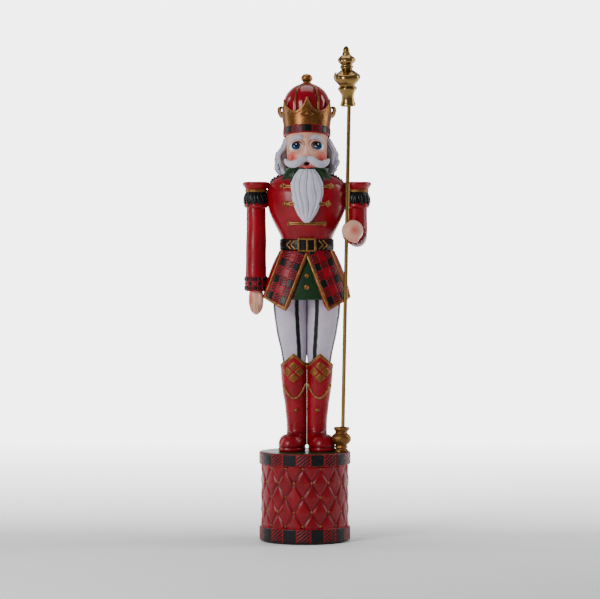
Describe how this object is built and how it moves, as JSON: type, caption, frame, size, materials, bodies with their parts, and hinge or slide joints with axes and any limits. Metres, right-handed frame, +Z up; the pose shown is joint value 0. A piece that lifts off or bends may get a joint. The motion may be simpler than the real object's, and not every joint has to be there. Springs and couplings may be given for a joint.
{
  "type": "nutcracker figure",
  "caption": "Tall painted nutcracker soldier in a crown, standing on a quilted toy drum and holding a lift-out brass staff.",
  "frame": {"origin": "centre of the drum's flat underside, on the surface the figure stands on", "axes": "+Z up along the figure, -Y the way the figure faces, +X towards its left hand, which holds the staff"},
  "size_m": [0.239, 0.2056, 0.9116],
  "materials": {
    "red_paint": "satin hand-painted resin",
    "drum_red_paint": "satin hand-painted resin",
    "plaid_paint": "satin, black and red squares in relief",
    "black_paint": "satin black paint",
    "green_paint": "satin green paint",
    "gold_paint": "brushed antique gold paint",
    "skin_paint": "satin flesh paint with blush",
    "white_paint": "satin white paint with grey wash",
    "trouser_paint": "white with black stripes",
    "eye_paint": "glossy painted eye",
    "staff_brass": "polished and aged",
    "steel": "zinc plated",
    "wood": "plain",
    "felt": "felt",
    "cast_iron": "rough cast"
  },
  "bodies": {
    "root": {"arm_dowels": "wood", "ballast_weight": "cast_iron", "base_plate": "wood", "base_screws": "steel", "beard": "white_paint", "belt": "black_paint", "belt_buckle": "gold_paint", "belt_chevrons": "gold_paint", "boot_buttons": "gold_paint", "boot_chains": "gold_paint", "boot_diamonds": "gold_paint", "boot_trims": "gold_paint", "coat_bar": "gold_paint", "coat_frogs": "gold_paint", "coat_skirt": "red_paint", "collar": "green_paint", "crown_dome": "red_paint", "crown_knob": "gold_paint", "crown_medallions": "gold_paint", "crown_ribs": "gold_paint", "crown_ring": "gold_paint", "drum_shell": "drum_red_paint", "drum_studs": "gold_paint", "drum_top_plate": "green_paint", "epaulette_bands": "gold_paint", "epaulette_caps": "red_paint", "epaulette_fringes": "black_paint", "eyebrows": "white_paint", "eyes": "eye_paint", "felt_pad": "felt", "hair": "white_paint", "hat_band": "plaid_paint", "head": "skin_paint", "left_boot": "red_paint", "left_cuff": "plaid_paint", "left_hand": "skin_paint", "left_plaid_panel": "plaid_paint", "left_sleeve": "red_paint", "leg_rods": "steel", "lower_hoop": "plaid_paint", "moustache": "white_paint", "neck_dowel": "wood", "panel_trims": "gold_paint", "right_boot": "red_paint", "right_cuff": "plaid_paint", "right_hand": "skin_paint", "right_plaid_panel": "plaid_paint", "right_sleeve": "red_paint", "rod_nuts_and_washers": "steel", "shoulder_ruffle": "black_paint", "staff_socket": "gold_paint", "torso": "red_paint", "trousers": "trouser_paint", "upper_hoop": "plaid_paint", "waistcoat_buttons": "gold_paint", "waistcoat_panel": "green_paint"},
    "staff_foot": {"staff_foot_plug": "steel"},
    "staff": {"staff_rod": "staff_brass", "staff_finial": "staff_brass"}
  },
  "joints": [
    {"name": "staff_lift", "type": "slide", "parent": "root", "child": "staff_foot", "axis": [0.0168, -0.114, 0.9933], "range_m": [0, 0.43]},
    {"name": "staff_turn", "type": "hinge", "parent": "staff_foot", "child": "staff", "pos_m": [0.0696, -0.018, 0.174], "axis": [0.0168, -0.114, 0.9933], "continuous": true}
  ]
}
